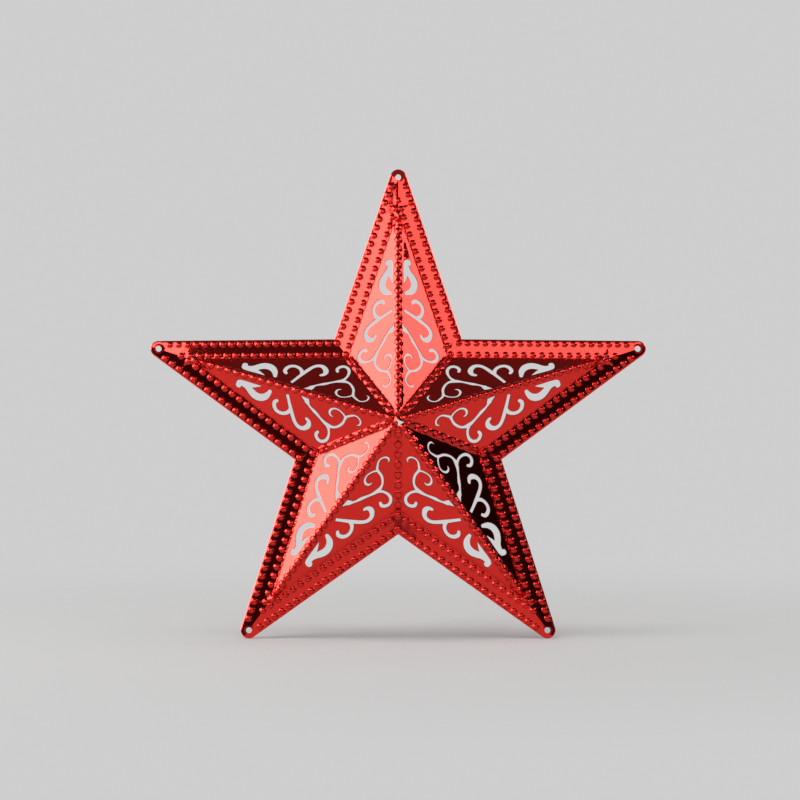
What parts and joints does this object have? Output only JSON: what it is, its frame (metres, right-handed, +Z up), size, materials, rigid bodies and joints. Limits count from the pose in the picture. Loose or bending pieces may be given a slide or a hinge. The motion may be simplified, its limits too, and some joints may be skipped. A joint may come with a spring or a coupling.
{
  "type": "star ornament",
  "caption": "Star-shaped hanging ornament of thin red lacquered tin: ridged points edged with rows of pressed beads, pierced with scrolls and soldered behind.",
  "frame": {"origin": "on the back plane of the star, at the axis of the hanging hole in the top tip", "axes": "+Z up through the top tip, -Y out of the front of the star, +X to the viewer's right"},
  "size_m": [0.3016, 0.0339, 0.2873],
  "materials": {
    "lacquered_tin": "glossy translucent red lacquer over bright tin sheet",
    "solder": "dull soft solder, left bare"
  },
  "bodies": {
    "root": {"star_point_top": "lacquered_tin", "star_point_right": "lacquered_tin", "star_point_lower_right": "lacquered_tin", "star_point_lower_left": "lacquered_tin", "star_point_left": "lacquered_tin", "solder_seam_upper_right": "solder", "solder_seam_right": "solder", "solder_seam_bottom": "solder", "solder_seam_left": "solder", "solder_seam_upper_left": "solder"}
  },
  "joints": []
}
